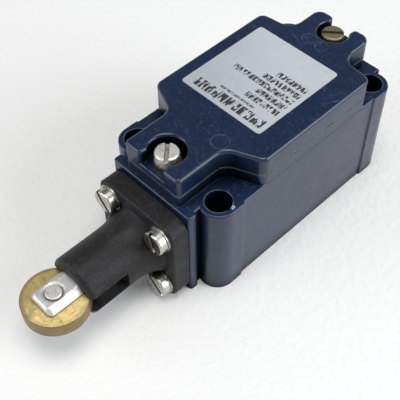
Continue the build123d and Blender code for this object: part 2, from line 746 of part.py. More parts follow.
with BuildPart() as contact_block_top:
    block(BLOCK_X, BLOCK_Y, (AXIS_Z, BLOCK_TOP))
    working_space()
    for side in (-1, 1):
        for pocket_y, plate_y in zip(pockets_y, plates_y):
            pocket_z = (POCKET_FLOOR, BLOCK_TOP + PAST)
            block(POCKET_HALF_X, pocket_y, pocket_z, side * CONTACT_X, Mode.SUBTRACT)
            slot_y = (plate_y[0] - PART_GAP, plate_y[1] + PART_GAP)
            slot_z = (AXIS_Z, POCKET_FLOOR + PAST)
            block(PLATE_HALF_X + PART_GAP, slot_y, slot_z, side * CONTACT_X, Mode.SUBTRACT)
    with BuildSketch(Plane.XY.offset(TERMINAL_TIP - SCREW_TIP_GAP)):
        with Locations(*terminals_xy):
            Circle(M35_R)
    extrude(amount=BLOCK_TOP, mode=Mode.SUBTRACT)
    with BuildSketch(Plane.XY.offset(AXIS_Z)):
        with Locations(*RIVETS):
            Circle(RIVET_R)
    extrude(amount=BLOCK_TOP, mode=Mode.SUBTRACT)
    chamfer(contact_block_top.faces().sort_by(Axis.Z)[-1].outer_wire().edges(), length=BLOCK_CHAMFER)
finish(contact_block_top, "contact_block_top")

with BuildPart() as block_rivets:
    with BuildSketch(Plane.XY.offset(RIVET_FOOT)):
        with Locations(*RIVETS):
            Circle(RIVET_R)
    extrude(amount=BLOCK_TOP - RIVET_FOOT)
    with BuildSketch(Plane.XY.offset(BLOCK_TOP)):
        with Locations(*RIVETS):
            Circle(RIVET_HEAD_R)
    extrude(amount=RIVET_HEAD_H)
finish(block_rivets, "block_rivets")

block_screws = slotted_screws(
    Plane.XY.offset(LUG_TOP),
    BLOCK_SCREWS,
    BLOCK_SCREW_HEAD,
    (M3_R, LUG_TOP - BLOCK_THREAD_END - SCREW_TIP_GAP),
    BLOCK_SCREW_SLOT,
    BLOCK_SCREW_ANGLES,
)
finish(block_screws, "block_screws")

with BuildPart() as contact_carrier:
    block(CARRIER_HALF, CARRIER_Y, (AXIS_Z - CARRIER_HALF, AXIS_Z + CARRIER_HALF))
    chamfer(contact_carrier.faces().sort_by(Axis.Y)[0].edges(), length=CARRIER_CHAMFER)
    for window_y in (NC_WINDOW, NO_WINDOW):
        window_z = (AXIS_Z - WINDOW_HALF_H, AXIS_Z + WINDOW_HALF_H)
        block(2 * CARRIER_HALF, window_y, window_z, mode=Mode.SUBTRACT)
finish(contact_carrier, "contact_carrier")

with BuildPart() as contact_bridges:
    for bridge_y in bridges_y:
        block(BRIDGE_X, bridge_y, (AXIS_Z - BRIDGE_HALF_H, AXIS_Z + BRIDGE_HALF_H))
finish(contact_bridges, "contact_bridges")

tip_xz = [(side * CONTACT_X, AXIS_Z) for side in (-1, 1)]


def contact_tips(front_faces):
    """Round silver tips, two on each plane given by the tips' front face."""
    with BuildPart() as tips:
        for y in front_faces:
            with BuildSketch(toward_rear(y)):
                with Locations(*tip_xz):
                    Circle(TIP_R)
            extrude(amount=TIP_T)
    return tips


bridge_tips = contact_tips([NC_WINDOW[0] - TIP_T, NO_WINDOW[1]])
finish(bridge_tips, "bridge_tips")
fixed_tips = contact_tips([nc_plate_rear, no_plate_front - TIP_T])
finish(fixed_tips, "fixed_contact_tips")

with BuildPart() as fixed_contacts:
    for side in (-1, 1):
        for plate_y, tab_y in zip(plates_y, tabs_y):
            plate_z = (AXIS_Z - BRIDGE_HALF_H, POCKET_FLOOR + PLATE_T)
            tab_z = (POCKET_FLOOR, POCKET_FLOOR + PLATE_T)
            block(PLATE_HALF_X, plate_y, plate_z, side * CONTACT_X)
            block(PLATE_HALF_X, tab_y, tab_z, side * CONTACT_X)
    with BuildSketch(Plane.XY.offset(POCKET_FLOOR)):
        with Locations(*terminals_xy):
            Circle(M35_R)
    extrude(amount=PLATE_T, mode=Mode.SUBTRACT)
finish(fixed_contacts, "fixed_contacts")


def wire_clamps(z, places):
    """Flat square clamp washers under terminal screws."""
    with BuildPart() as clamps:
        with BuildSketch(Plane.XY.offset(z)):
            with Locations(*places):
                RectangleRounded(2 * CLAMP_HALF_X, 2 * CLAMP_HALF_Y, CLAMP_ROUND)
                Circle(M35_R, mode=Mode.SUBTRACT)
        extrude(amount=CLAMP_T)
    return clamps


def clamp_screws(z, places, tip_z, slot_angles):
    """Short cheese-head screws that hold clamp washers."""
    return slotted_screws(
        Plane.XY.offset(z), places, CLAMP_HEAD, (M35_R, z - tip_z), CLAMP_SLOT, slot_angles
    )


clamp_z = POCKET_FLOOR + PLATE_T
finish(wire_clamps(clamp_z, terminals_xy), "terminal_clamps")
terminal_screws = clamp_screws(clamp_z + CLAMP_T, terminals_xy, TERMINAL_TIP, TERMINAL_ANGLES)
finish(terminal_screws, "terminal_screws")
finish(wire_clamps(EARTH_TOP, [EARTH_XY]), "earth_clamp")
earth_screw = clamp_screws(
    EARTH_TOP + CLAMP_T, [EARTH_XY], EARTH_THREAD_END + SCREW_TIP_GAP, EARTH_ANGLES
)
finish(earth_screw, "earth_screw")

spring_clear = BLOCK_SPRING_WIRE + FIT_GAP
block_spring_start = (0, CARRIER_Y[1] + spring_clear, AXIS_Z)
block_spring_length = BLOCK_SPRING_END - spring_clear - block_spring_start[1]
carrier_spring = coil_spring(
    block_spring_start,
    (0, 1, 0),
    BLOCK_SPRING_R,
    BLOCK_SPRING_WIRE,
    BLOCK_SPRING_TURNS,
    block_spring_length,
)
finish(carrier_spring, "carrier_spring")

bridge_spring_spans = [
    (bridges_y[0][1], NC_WINDOW[1]),
    (NO_WINDOW[0], bridges_y[1][0]),
]
spring_solids = []
for span in bridge_spring_spans:
    start_y = span[0] + spring_clear
    one = coil_spring(
        (0, start_y, AXIS_Z),
        (0, 1, 0),
        BRIDGE_SPRING_R,
        BLOCK_SPRING_WIRE,
        BRIDGE_SPRING_TURNS,
        span[1] - spring_clear - start_y,
    )
    spring_solids.append(one.part)
bridge_springs = Compound(children=spring_solids, label="bridge_springs")
export_step(bridge_springs, "parts/bridge_springs.step")
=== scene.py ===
import json
import math

import bmesh
import bpy
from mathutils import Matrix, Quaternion, Vector


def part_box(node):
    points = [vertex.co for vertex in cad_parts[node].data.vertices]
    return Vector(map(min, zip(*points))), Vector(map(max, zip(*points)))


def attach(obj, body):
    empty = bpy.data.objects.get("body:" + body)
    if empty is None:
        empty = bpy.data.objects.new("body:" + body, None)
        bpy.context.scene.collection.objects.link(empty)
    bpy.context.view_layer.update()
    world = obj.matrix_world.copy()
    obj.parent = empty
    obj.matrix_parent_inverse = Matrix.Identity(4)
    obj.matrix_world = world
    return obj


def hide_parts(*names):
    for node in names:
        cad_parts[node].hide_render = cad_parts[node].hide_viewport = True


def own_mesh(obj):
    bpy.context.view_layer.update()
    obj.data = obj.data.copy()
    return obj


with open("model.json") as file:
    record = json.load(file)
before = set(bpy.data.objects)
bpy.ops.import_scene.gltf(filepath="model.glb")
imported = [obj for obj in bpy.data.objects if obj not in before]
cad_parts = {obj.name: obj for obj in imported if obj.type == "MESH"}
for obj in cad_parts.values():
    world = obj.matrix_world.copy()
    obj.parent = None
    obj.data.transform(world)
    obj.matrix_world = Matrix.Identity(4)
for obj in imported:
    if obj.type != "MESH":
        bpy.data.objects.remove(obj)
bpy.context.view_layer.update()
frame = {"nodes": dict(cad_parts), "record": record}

# Looks of the roller-plunger limit switch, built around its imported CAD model.
# Blender works in metres; every length named below is in millimetres and is turned to metres by MM.
# Only the places and sizes of the lights and the floor's size are in metres.

MM = 0.001

# Camera: angles in degrees, its place in the part's own frame
CAMERA_AZIMUTH = 45.96
CAMERA_ELEVATION = 51.09
CAMERA_ROLL = -0.60
CAMERA_PLACE = (102.3, -120.8, 187.6)
CAMERA_LENS = 73.15
SENSOR_WIDTH = 36.0

# Round soft lights that look at the part: place, size across, power, colour
WHITE = (1.0, 1.0, 1.0)
COOL_WHITE = (0.90, 0.95, 1.0)
LIGHTS = {
    "soft_top": ((0.09, -0.05, 0.90), 0.55, 5.0, WHITE),
    "soft_side": ((0.80, 0.45, 0.46), 0.80, 8.5, COOL_WHITE),
    "soft_front": ((-0.50, -0.82, 0.46), 0.80, 4.8, COOL_WHITE),
}

# The studio fades from its horizon to overhead between two heights of the view's direction
SKY_COLOR = (0.93, 0.97, 1.0, 1.0)
SKY_FADE_FROM, SKY_FADE_TO = 0.22, 0.62
SKY_LOW_STRENGTH, SKY_HIGH_STRENGTH = 0.62, 0.15

FLOOR_SIZE = 6.0

# Cable entry: its thread is M20 x 1.5, and its pattern fades out past the wall and the rear face
THREAD_PITCH = 1.5
THREAD_DEPTH = 0.5
ENTRY_RADIUS = 9.2
ENTRY_AXIS_Z = 14.5
ENTRY_START_Y = 19.9
ENTRY_START_SOFT = 0.2
ENTRY_WALL_SOFT = (0.05, 0.1)

# Height of the corner bosses, above which the cover's throat walls are darkened by grime and painted
# shade
BOSS_TOP = 31.1
BOSS_TOP_SOFT = 0.2

# A chip in the paint beside the front right mounting hole
CHIP_PLACE = (19.0, -28.9, BOSS_TOP)
CHIP_RADIUS = 0.6

# Springs: the joint that presses each, wire radius, number of turns,
# and the share of its length that it keeps at full travel
SPRINGS = {
    "return_spring": ("plunger_slide", 0.6, 6.0, 0.70),
    "carrier_spring": ("carrier_slide", 0.2, 6.5, 0.25),
}
CLOSED_TURNS = 1.0
WIRE_SIDES = 12
STEPS_PER_TURN = 40

# Rows of plain marks on the label, from its front left corner:
# from and to along Y, from and to along X, width of one mark
LABEL_MARKS = (
    (1.4, 4.6, 3.0, 26.6, 2.3),
    (5.5, 6.3, 9.0, 21.0, 0.6),
    (7.6, 9.6, 15.5, 26.6, 1.3),
    (10.4, 12.4, 16.5, 26.6, 1.3),
    (13.2, 15.2, 6.0, 26.6, 1.3),
    (16.0, 18.0, 14.0, 26.6, 1.3),
    (18.8, 20.8, 16.5, 26.6, 1.3),
)
# Softness of a row's ends, share of a mark's width that is inked, and width and cut of its strokes
ROW_SOFT = 0.08
MARK_SHARE = (0.80, 0.86)
STROKE_WIDTH = 0.42
STROKE_CUT = (0.42, 0.48)

# The zinc plating has yellowed past this place along Y, where the rear cover screw is
BRASSY_PAST_Y = 25.0
BRASSY_SOFT = 1.0

# Rays of each bevel and occlusion node
SAMPLES = 6

# An edge: how far its rounded normal turns away, and how open the place has to be
EDGE_TURN = (0.02, 0.25)
EDGE_OPEN_REACH = 2.0
EDGE_OPEN = (0.55, 0.8)

# Upward part of the normal between which a wall becomes a level face
LEVEL_FACE = (0.80, 0.98)

# A spot: grain of its outline, and its raggedness and full core as shares of its radius
SPOT_GRAIN = 0.8
SPOT_RAGGED = 0.5
SPOT_CORE = 0.85

# Scratches: stretched noise cut to a narrow band, in patches
SCRATCH_SIZE = 8.0
SCRATCH_BAND = (0.497, 0.503)
SCRATCH_SOFT = 0.004
SCRATCH_PATCH = 7.0
SCRATCH_FADE = 0.08

NODES = frame["nodes"]

# ------------------------------------------------------------------ node materials
# Each material names its colours. Its other numbers are sizes in millimetres, shares from 0 to 1,
# and the levels between which a noise or a measured share is stepped.

def set_range(mapping, low, high, at_low, at_high):
    """Sets what a Map Range node reads and gives."""
    mapping.inputs["From Min"].default_value = low
    mapping.inputs["From Max"].default_value = high
    mapping.inputs["To Min"].default_value = at_low
    mapping.inputs["To Max"].default_value = at_high


class Shader:
    """A node material made of short calls. Positions and sizes in it are in millimetres."""

    def __init__(self, name):
        self.material = bpy.data.materials.new(name)
        self.material.use_nodes = True
        self.tree = self.material.node_tree
        self.surface = self.tree.nodes["Principled BSDF"]
        coordinates = self.tree.nodes.new("ShaderNodeTexCoord")
        self.place = self.vector("MULTIPLY", coordinates.outputs["Object"], (1 / MM,) * 3)
        self.normal = None

    def node(self, kind, **settings):
        """A new node of a kind, with its settings made."""
        made = self.tree.nodes.new(kind)
        for key, value in settings.items():
            setattr(made, key, value)
        return made

    def feed(self, socket, value):
        """Links value to socket where it comes from a node, and sets it there otherwise."""
        if isinstance(value, bpy.types.NodeSocket):
            self.tree.links.new(value, socket)
        elif isinstance(value, tuple) and len(value) == 3 and socket.type == "RGBA":
            socket.default_value = (*value, 1.0)
        else:
            socket.default_value = value

    def calc(self, operation, first, second=0.0):
        made = self.node("ShaderNodeMath", operation=operation)
        self.feed(made.inputs[0], first)
        self.feed(made.inputs[1], second)
        return made.outputs[0]

    def times(self, first, second):
        return self.calc("MULTIPLY", first, second)

    def vector(self, operation, first, second=(0.0, 0.0, 0.0)):
        made = self.node("ShaderNodeVectorMath", operation=operation)
        self.feed(made.inputs[0], first)
        self.feed(made.inputs[1], second)
        return made.outputs["Value" if operation in ("LENGTH", "DOT_PRODUCT") else "Vector"]

    def axes(self):
        """The three position values, in millimetres."""
        made = self.node("ShaderNodeSeparateXYZ")
        self.feed(made.inputs[0], self.place)
        return made.outputs

    def turned(self, angle=(0.0, 0.0, 0.0), scale=(1.0, 1.0, 1.0)):
        """The position turned by angles in degrees, then scaled."""
        turn = self.node("ShaderNodeMapping")
        self.feed(turn.inputs["Vector"], self.place)
        turn.inputs["Rotation"].default_value = tuple(math.radians(a) for a in angle)
        return self.vector("MULTIPLY", turn.outputs[0], scale)

    def noise(self, size, detail=3.0, place=None):
        """Cloudy values from 0 to 1 whose features are about size across."""
        made = self.node("ShaderNodeTexNoise")
        self.feed(made.inputs["Vector"], place or self.place)
        made.inputs["Scale"].default_value = 1 / size
        made.inputs["Detail"].default_value = detail
        return made.outputs["Fac"]

    def combined(self, first, second=0.0, third=0.0):
        """A vector from three values."""
        made = self.node("ShaderNodeCombineXYZ")
        for socket, value in zip(made.inputs, (first, second, third)):
            self.feed(socket, value)
        return made.outputs[0]

    def step(self, value, low, high, to_low=0.0, to_high=1.0):
        """A smooth step: to_low below low, to_high above high."""
        made = self.node("ShaderNodeMapRange", interpolation_type="SMOOTHSTEP")
        self.feed(made.inputs["Value"], value)
        set_range(made, low, high, to_low, to_high)
        return made.outputs[0]

    def band(self, value, low, high, soft):
        """1 between low and high, 0 outside, with edges soft wide."""
        rise = self.step(value, low - soft, low + soft)
        fall = self.step(value, high - soft, high + soft, 1.0, 0.0)
        return self.times(rise, fall)

    def between(self, kind, share, first, second):
        """Mixes two values of one kind."""
        made = self.node("ShaderNodeMix", data_type=kind)
        self.feed(made.inputs["Factor"], share)
        self.feed(made.inputs["A"], first)
        self.feed(made.inputs["B"], second)
        return made.outputs["Result"]

    def mix(self, share, first, second):
        """A colour between first and second."""
        return self.between("RGBA", share, first, second)

    def blend(self, share, first, second):
        """A number between first and second."""
        return self.between("FLOAT", share, first, second)

    def soften(self, radius):
        """Rounds the shading of sharp edges."""
        made = self.node("ShaderNodeBevel", samples=SAMPLES)
        made.inputs["Radius"].default_value = radius * MM
        self.normal = made.outputs[0]

    def edges(self, radius):
        """1 on edges and corners that stick out, 0 on faces and in hollows."""
        rounded = self.node("ShaderNodeBevel", samples=SAMPLES)
        rounded.inputs["Radius"].default_value = radius * MM
        geometry = self.node("ShaderNodeNewGeometry")
        facing = self.vector("DOT_PRODUCT", rounded.outputs[0], geometry.outputs["Normal"])
        turned = self.step(self.calc("SUBTRACT", 1.0, facing), *EDGE_TURN)
        return self.times(turned, self.step(self.open_sky(EDGE_OPEN_REACH), *EDGE_OPEN))

    def open_sky(self, reach):
        """1 on open faces, falling in corners, slots and hollows up to reach deep."""
        made = self.node("ShaderNodeAmbientOcclusion", samples=SAMPLES)
        made.inputs["Distance"].default_value = reach * MM
        return made.outputs["AO"]

    def bump(self, height, depth):
        """Adds relief: height from 0 to 1 is depth deep."""
        made = self.node("ShaderNodeBump")
        made.inputs["Distance"].default_value = depth * MM
        self.feed(made.inputs["Height"], height)
        if self.normal is not None:
            self.feed(made.inputs["Normal"], self.normal)
        self.normal = made.outputs[0]

    def facing_up(self):
        """1 on faces that look along +Z, 0 on the walls."""
        geometry = self.node("ShaderNodeNewGeometry")
        parts = self.node("ShaderNodeSeparateXYZ")
        self.feed(parts.inputs[0], geometry.outputs["Normal"])
        return self.step(parts.outputs[2], *LEVEL_FACE)

    def spot(self, centre, radius):
        """A ragged patch round a point."""
        away = self.vector("LENGTH", self.vector("SUBTRACT", self.place, centre))
        shift = SPOT_RAGGED * radius
        raggedness = self.step(self.noise(SPOT_GRAIN, 4.0), 0.3, 0.7, -shift, shift)
        return self.step(self.calc("ADD", away, raggedness), SPOT_CORE * radius, radius, 1.0, 0.0)

    def thread(self, x, y, z):
        """The V profile of the cable entry's thread, from 0 at its root to 1 at its crest."""
        up = self.calc("SUBTRACT", z, ENTRY_AXIS_Z)
        turn = self.calc("DIVIDE", self.calc("ARCTAN2", x, up), 2 * math.pi)
        phase = self.calc("FRACT", self.calc("ADD", self.calc("DIVIDE", y, THREAD_PITCH), turn))
        from_middle = self.calc("ABSOLUTE", self.calc("SUBTRACT", phase, 0.5))
        profile = self.times(from_middle, 2.0)
        radius = self.vector("LENGTH", self.combined(x, up))
        wall_from, wall_to = ENTRY_WALL_SOFT
        inside = self.step(radius, ENTRY_RADIUS + wall_from, ENTRY_RADIUS + wall_to, 1.0, 0.0)
        along = self.step(y, ENTRY_START_Y - ENTRY_START_SOFT, ENTRY_START_Y + ENTRY_START_SOFT)
        return self.times(profile, self.times(inside, along))

    def glyphs(self, across, along, pitch, start):
        """Dark strokes in cells pitch wide, with a gap after each."""
        cell = self.calc("DIVIDE", across, pitch)
        gap = self.step(self.calc("FRACT", cell), *MARK_SHARE, 1.0, 0.0)
        column = self.calc("DIVIDE", across, STROKE_WIDTH * pitch)
        strokes = self.combined(column, self.calc("DIVIDE", along, pitch), start)
        stroke = self.step(self.noise(1.0, 1.0, strokes), *STROKE_CUT)
        return self.times(gap, stroke)

    def scratches(self, angle, width, length, rare):
        """Thin broken lines that run at angle degrees; rare from 0 to 1 says how few there are."""
        stretched = self.turned((0.0, 0.0, angle), (1.0 / length, 1.0 / width, 1.0 / width))
        line = self.band(self.noise(SCRATCH_SIZE, 2.0, stretched), *SCRATCH_BAND, SCRATCH_SOFT)
        return self.times(line, self.step(self.noise(SCRATCH_PATCH, 2.0), rare, rare + SCRATCH_FADE))

    def done(self, color, roughness, metallic=0.0, **constants):
        """The finished material; constants are other sockets of the surface, with _ for a space."""
        self.feed(self.surface.inputs["Base Color"], color)
        self.feed(self.surface.inputs["Roughness"], roughness)
        self.feed(self.surface.inputs["Metallic"], metallic)
        for name, number in constants.items():
            self.surface.inputs[name.replace("_", " ")].default_value = number
        if self.normal is not None:
            self.feed(self.surface.inputs["Normal"], self.normal)
        return self.material


def navy_paint():
    """Glossy stoved enamel over a die casting, with wear and a painted highlight on its edges, painted
    shade in its hollows and a thread in its cable entry.
    """
    deep, clear = (0.0026, 0.0098, 0.034), (0.0044, 0.0160, 0.054)
    dust, grit, scratch = (0.050, 0.065, 0.095), (0.10, 0.13, 0.18), (0.14, 0.19, 0.28)
    rubbed, chip, crevice_shade = (0.24, 0.32, 0.43), (0.26, 0.40, 0.56), (0.0018, 0.0022, 0.0035)
    s = Shader("navy_paint")
    s.soften(0.25)
    x, y, z = s.axes()
    color = s.mix(s.noise(14.0, 4.0), deep, clear)
    level = s.facing_up()
    dusty = s.times(level, s.step(s.noise(1.1, 5.0), 0.52, 0.74))
    color = s.mix(s.times(dusty, 0.22), color, dust)
    speck = s.step(s.noise(0.45, 2.0), 0.68, 0.76)
    color = s.mix(s.times(speck, 0.25), color, grit)
    # The edges are lighter: partly paint worn through, partly a painted highlight along the rounded
    # edges.
    edge = s.edges(0.6)
    worn = s.times(edge, s.step(s.noise(2.4, 4.0), 0.30, 0.56))
    color = s.mix(s.times(worn, 0.9), color, rubbed)
    chipped = s.times(edge, s.step(s.noise(1.3, 3.0), 0.65, 0.70))
    chipped = s.calc("MAXIMUM", chipped, s.spot(CHIP_PLACE, CHIP_RADIUS))
    color = s.mix(s.times(chipped, 0.8), color, chip)
    marks = s.calc("MAXIMUM", s.scratches(20.0, 0.35, 6.0, 0.55), s.scratches(-65.0, 0.3, 5.0, 0.56))
    color = s.mix(s.times(marks, 0.4), color, scratch)
    # Painted shade: hollows darken and lose their coat and reflection; the throat walls above the bosses
    # darken further, partly grime and partly painted shade.
    unshaded_share = s.step(s.open_sky(8.0), 0.30, 0.80)
    above_bosses = s.step(z, BOSS_TOP - BOSS_TOP_SOFT, BOSS_TOP + BOSS_TOP_SOFT)
    throat_wall = s.times(above_bosses, s.calc("SUBTRACT", 1.0, level))
    throat_grime_and_shade = s.times(throat_wall, s.step(s.open_sky(16.0), 0.55, 0.88, 1.0, 0.0))
    unshaded_share = s.times(unshaded_share, s.calc("SUBTRACT", 1.0, throat_grime_and_shade))
    color = s.mix(unshaded_share, crevice_shade, color)
    s.bump(s.noise(5.0, 2.0), 0.10)
    s.bump(s.noise(0.9, 2.0), 0.025)
    s.bump(s.thread(x, y, z), THREAD_DEPTH)
    rough = s.blend(s.noise(3.5, 5.0), 0.24, 0.46)
    rough = s.blend(dusty, rough, 0.6)
    s.feed(s.surface.inputs["Coat Weight"], s.times(unshaded_share, 0.38))
    s.feed(s.surface.inputs["Specular IOR Level"], s.times(unshaded_share, 0.36))
    return s.done(color, rough, Coat_Roughness=0.12)


def gasket_rubber():
    """Tan cork-rubber sheet that shows as a thin line between cover and housing."""
    s = Shader("gasket_rubber")
    color = s.mix(s.noise(1.5), (0.10, 0.085, 0.055), (0.22, 0.19, 0.13))
    s.bump(s.noise(0.3), 0.03)
    return s.done(color, s.blend(s.noise(2.0), 0.6, 0.85))


def seal_rubber():
    """Black rubber of the wiper seal and the head gasket."""
    s = Shader("seal_rubber")
    color = s.mix(s.noise(1.5), (0.010, 0.010, 0.011), (0.022, 0.021, 0.021))
    s.bump(s.noise(0.25), 0.03)
    return s.done(color, s.blend(s.noise(1.6), 0.55, 0.8))


def black_plastic():
    """Moulded glass-filled plastic of the head, scuffed by use."""
    dark, light, fibre = (0.0100, 0.0090, 0.0096), (0.0180, 0.0165, 0.0172), (0.030, 0.028, 0.029)
    scuff, scratch, rubbed = (0.046, 0.044, 0.047), (0.10, 0.098, 0.10), (0.10, 0.10, 0.105)
    s = Shader("black_plastic")
    s.soften(0.2)
    color = s.mix(s.noise(9.0, 4.0), dark, light)
    grain = s.noise(0.55, 4.0)
    color = s.mix(s.step(grain, 0.45, 0.75), color, fibre)
    scuffs = s.step(s.noise(2.2, 6.0, s.turned(scale=(1.0, 0.35, 1.0))), 0.56, 0.74)
    color = s.mix(s.times(scuffs, 0.45), color, scuff)
    marks = s.calc("MAXIMUM", s.scratches(8.0, 0.3, 7.0, 0.5), s.scratches(70.0, 0.3, 4.0, 0.55))
    color = s.mix(s.times(marks, 0.3), color, scratch)
    worn = s.times(s.edges(0.35), s.step(s.noise(1.8, 4.0), 0.42, 0.62))
    color = s.mix(s.times(worn, 0.5), color, rubbed)
    s.bump(s.noise(3.0, 3.0), 0.08)
    s.bump(grain, 0.035)
    return s.done(color, s.blend(s.noise(3.0, 5.0), 0.36, 0.58), Specular_IOR_Level=0.20)


def label_film():
    """Foil label with rows of plain dark marks that spell nothing."""
    dull, bright, shade = (0.44, 0.46, 0.485), (0.51, 0.53, 0.555), (0.36, 0.375, 0.40)
    stain, ink_color = (0.34, 0.355, 0.37), (0.010, 0.010, 0.012)
    s = Shader("label_film")
    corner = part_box("rating_label")[0] / MM
    x, y = s.axes()[:2]
    across = s.calc("SUBTRACT", x, corner.x)
    along = s.calc("SUBTRACT", y, corner.y)
    film = s.mix(s.noise(9.0, 3.0), dull, bright)
    # Painted shade: the film darkens towards its front left corner.
    shaded = s.step(s.calc("ADD", across, along), 4.0, 40.0, 0.75, 0.0)
    film = s.mix(shaded, film, shade)
    fade = s.step(s.noise(3.0, 5.0), 0.58, 0.78)
    film = s.mix(s.times(fade, 0.4), film, stain)
    ink = None
    for start, end, first, last, pitch in LABEL_MARKS:
        row = s.times(s.band(along, start, end, ROW_SOFT), s.band(across, first, last, ROW_SOFT))
        row = s.times(row, s.glyphs(across, along, pitch, start))
        ink = row if ink is None else s.calc("MAXIMUM", ink, row)
    color = s.mix(s.times(ink, 0.94), film, ink_color)
    s.bump(s.noise(4.0, 3.0), 0.02)
    rough = s.blend(s.noise(2.5, 4.0), 0.34, 0.52)
    return s.done(color, rough, 0.10, Coat_Weight=0.15, Coat_Roughness=0.2)


def bare_metal(name, color, shade, roughness, brushing, spot=None, yellowed=None, metallic=1.0):
    """Plated or ground metal.

    brushing is the stretch of its tool marks along X, Y and Z, and spot the colour of its stains.
    yellowed is its colour past BRASSY_PAST_Y.
    """
    crevice_shade_color = (0.030, 0.026, 0.020)
    s = Shader(name)
    s.soften(0.12)
    tone = s.mix(s.noise(2.5, 5.0), color, shade)
    if yellowed is not None:
        past = s.step(s.axes()[1], BRASSY_PAST_Y - BRASSY_SOFT, BRASSY_PAST_Y + BRASSY_SOFT)
        tone = s.mix(past, tone, yellowed)
    marks = s.noise(0.8, 5.0, s.turned(scale=brushing))
    tone = s.mix(s.step(marks, 0.5, 0.8, 0.0, 0.35), tone, shade)
    if spot is not None:
        tone = s.mix(s.step(s.noise(0.9, 5.0), 0.56, 0.72, 0.0, 0.8), tone, spot)
    # Painted shade: the colour darkens in slots and crevices.
    crevice_shade = s.step(s.open_sky(1.4), 0.30, 0.70, 0.85, 0.0)
    tone = s.mix(crevice_shade, tone, crevice_shade_color)
    s.bump(marks, 0.02)
    s.bump(s.noise(1.2, 4.0), 0.03)
    return s.done(tone, s.blend(s.noise(1.5, 5.0), *roughness), metallic)


def roller_brass():
    """Turned brass: golden on its +X side and duller on the other side, a painted highlight; olive and
    brown where tarnished; a brown edge that is partly tarnish and partly painted shade on the side away
    from +X; darker on its rim.
    """
    dull, golden, bright = (0.54, 0.43, 0.17), (1.0, 0.76, 0.33), (1.0, 0.86, 0.50)
    olive, tarnish, edge_brown = (0.38, 0.29, 0.11), (0.27, 0.17, 0.065), (0.22, 0.125, 0.055)
    rim_dark, rim_light, shadow = (0.10, 0.060, 0.024), (0.26, 0.175, 0.075), (0.10, 0.065, 0.025)
    # Painted highlight: the side of the roller turned this way is golden, the other side dull.
    lit_towards = (1.0, 0.15, 0.0)
    s = Shader("roller_brass")
    s.soften(0.2)
    low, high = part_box("roller")
    centre = (low + high) / 2 / MM
    from_centre = s.vector("SUBTRACT", s.place, tuple(centre))
    radius = s.vector("LENGTH", s.vector("MULTIPLY", from_centre, (1.0, 1.0, 0.0)))
    edge = high.x / MM
    rubbed = s.vector("DOT_PRODUCT", from_centre, lit_towards)
    lit_side = s.calc("ADD", rubbed, s.step(s.noise(3.0, 4.0), 0.25, 0.75, -5.0, 5.0))
    color = s.mix(s.step(lit_side, -5.0, 5.0), dull, golden)
    color = s.mix(s.step(s.noise(1.8, 6.0), 0.42, 0.80, 0.0, 0.55), color, olive)
    color = s.mix(s.step(s.noise(0.9, 6.0), 0.50, 0.80, 0.0, 0.5), color, tarnish)
    # Brown edge: tarnish all round, darker on the side away from the painted highlight as painted shade.
    near_edge = s.step(radius, edge - 1.4, edge - 0.2)
    edge_tarnish_and_shade = s.times(near_edge, s.step(lit_side, -4.0, 3.0, 1.0, 0.45))
    color = s.mix(s.times(edge_tarnish_and_shade, 0.85), color, edge_brown)
    upright = s.calc("SUBTRACT", 1.0, s.facing_up())
    rim = s.mix(s.noise(1.6, 5.0), rim_dark, rim_light)
    color = s.mix(s.times(upright, 0.85), color, rim)
    shadowed = s.step(s.open_sky(1.6), 0.45, 0.85, 0.75, 0.0)
    color = s.mix(shadowed, color, shadow)
    rings = s.noise(0.45, 3.0, s.combined(radius))
    color = s.mix(s.step(rings, 0.50, 0.78, 0.0, 0.4), color, bright)
    s.bump(rings, 0.05)
    s.bump(s.noise(0.5, 4.0), 0.07)
    s.bump(s.noise(2.5, 3.0), 0.12)
    return s.done(color, s.blend(s.noise(1.3, 5.0), 0.30, 0.52), 0.64)


def red_fibre():
    """Vulcanised fibre of the cover screws' washers."""
    s = Shader("red_fibre")
    color = s.mix(s.noise(0.6, 4.0), (0.030, 0.010, 0.008), (0.065, 0.024, 0.017))
    s.bump(s.noise(0.3, 3.0), 0.03)
    return s.done(color, s.blend(s.noise(1.0), 0.55, 0.75))


def moulded(name, dark, light, roughness):
    """Plain moulded plastic between two shades."""
    s = Shader(name)
    s.soften(0.12)
    color = s.mix(s.noise(2.5, 4.0), dark, light)
    s.bump(s.noise(0.4, 3.0), 0.02)
    return s.done(color, s.blend(s.noise(1.6, 4.0), *roughness))


# Metals: colour, shade of its marks, roughness from and to, stretch of the marks, and colour of stains
NICKEL = ((0.68, 0.66, 0.62), (0.42, 0.40, 0.36), (0.20, 0.38), (1.0, 0.3, 1.0), (0.20, 0.16, 0.11))
ZINC = ((0.82, 0.81, 0.77), (0.58, 0.56, 0.50), (0.36, 0.60), (1.0, 1.0, 0.3), (0.22, 0.16, 0.08))
ZINC_YELLOWED = (0.24, 0.205, 0.125)
BRIGHT = ((0.76, 0.75, 0.73), (0.54, 0.52, 0.49), (0.36, 0.58), (1.0, 0.15, 1.0), (0.40, 0.35, 0.28))
SPRING = ((0.52, 0.51, 0.49), (0.32, 0.31, 0.30), (0.25, 0.40), (1.0, 1.0, 1.0))
BRONZE = ((0.45, 0.30, 0.14), (0.30, 0.19, 0.09), (0.30, 0.50), (1.0, 0.3, 1.0))
BRASS = ((0.66, 0.50, 0.23), (0.46, 0.33, 0.14), (0.20, 0.40), (0.3, 1.0, 1.0))
SILVER = ((0.78, 0.77, 0.74), (0.55, 0.54, 0.50), (0.20, 0.35), (1.0, 1.0, 1.0))

# Mouldings: darker and lighter shade, roughness from and to
DARK_MOULDING = ((0.020, 0.019, 0.017), (0.036, 0.034, 0.030), (0.4, 0.55))
PALE_MOULDING = ((0.55, 0.53, 0.47), (0.66, 0.64, 0.57), (0.4, 0.55))

